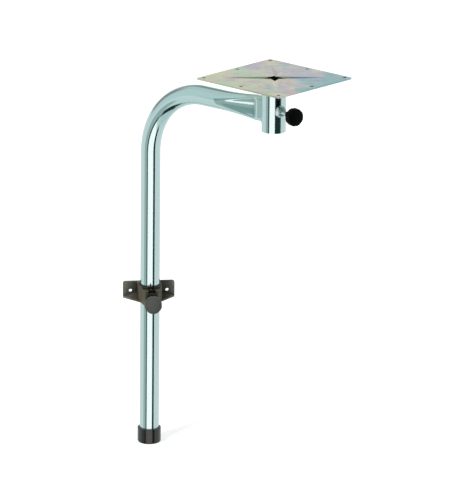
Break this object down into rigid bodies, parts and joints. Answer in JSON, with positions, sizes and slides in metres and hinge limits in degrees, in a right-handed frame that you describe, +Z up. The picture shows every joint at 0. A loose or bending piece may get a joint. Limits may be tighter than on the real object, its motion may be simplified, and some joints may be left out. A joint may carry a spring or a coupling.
{
  "type": "swivel table pedestal",
  "caption": "Bent tube table leg, held in a wall clamp bracket, with a square swivelling table plate clamped in a socket at the arm's end.",
  "frame": {"origin": "middle of the foot cap's underside, on the leg's axis", "axes": "+Z up the leg; +Y into the wall, square to the bracket's ears; +X along the wall"},
  "size_m": [0.372, 0.3644, 0.726],
  "materials": {
    "zinc": "bright, slightly blue-green plating",
    "plate_zinc": "yellow to lilac iridescent passivated plating",
    "screw_zinc": "bright plating",
    "bracket_plastic": "fine-grained dark grey-brown moulding",
    "knob_plastic": "satin dark grey-brown moulding",
    "black_knob_plastic": "black moulding",
    "cap_plastic": "glossy black-brown moulding",
    "bush_plastic": "plain black moulding"
  },
  "bodies": {
    "bracket": {"wall_bracket": "bracket_plastic", "clamp_nut": "screw_zinc"},
    "bush": {"collar_bush": "bush_plastic"},
    "leg": {"leg_tube": "zinc", "foot_cap": "cap_plastic", "socket_tube": "zinc", "arm_weld": "zinc", "weld_nut": "screw_zinc", "nut_weld": "zinc"},
    "shoe": {"clamp_shoe": "bush_plastic"},
    "bracket_clamp": {"bracket_screw": "screw_zinc", "bracket_knob": "knob_plastic"},
    "liner": {"socket_bush": "bush_plastic"},
    "plate": {"table_plate": "plate_zinc", "spigot": "zinc", "spigot_weld": "zinc"},
    "slug": {"clamp_slug": "bush_plastic"},
    "socket_clamp": {"socket_screw": "screw_zinc", "socket_knob": "black_knob_plastic"}
  },
  "joints": [
    {"name": "leg_swivel", "type": "hinge", "parent": "bracket", "child": "bush", "pos_m": [0, 0, 0.28], "axis": [0, 0, 1], "continuous": true},
    {"name": "leg_height", "type": "slide", "parent": "bush", "child": "leg", "axis": [0, 0, 1], "range_m": [0, 0.2]},
    {"name": "shoe_slide", "type": "slide", "parent": "bracket", "child": "shoe", "axis": [0, -1, 0], "range_m": [0, 0.0025]},
    {"name": "bracket_clamp_turn", "type": "hinge", "parent": "shoe", "child": "bracket_clamp", "pos_m": [0, -0.045, 0.275], "axis": [0, -1, 0], "range_deg": [0, 720]},
    {"name": "plate_swivel", "type": "hinge", "parent": "leg", "child": "liner", "pos_m": [0.19232, -0.20624, 0.7], "axis": [0, 0, 1], "continuous": true},
    {"name": "plate_lift", "type": "slide", "parent": "liner", "child": "plate", "axis": [0, 0, 1], "range_m": [0, 0.07]},
    {"name": "slug_slide", "type": "slide", "parent": "leg", "child": "slug", "axis": [0.4384, -0.8988, 0], "range_m": [0, 0.0025]},
    {"name": "socket_clamp_turn", "type": "hinge", "parent": "slug", "child": "socket_clamp", "pos_m": [0.21205, -0.24669, 0.67], "axis": [0.4384, -0.8988, 0], "range_deg": [0, 720]}
  ],
  "couplings": [
    {"joint": "bracket_clamp_turn", "follows": "shoe_slide", "rad_per_m": 5026},
    {"joint": "socket_clamp_turn", "follows": "slug_slide", "rad_per_m": 5026}
  ]
}
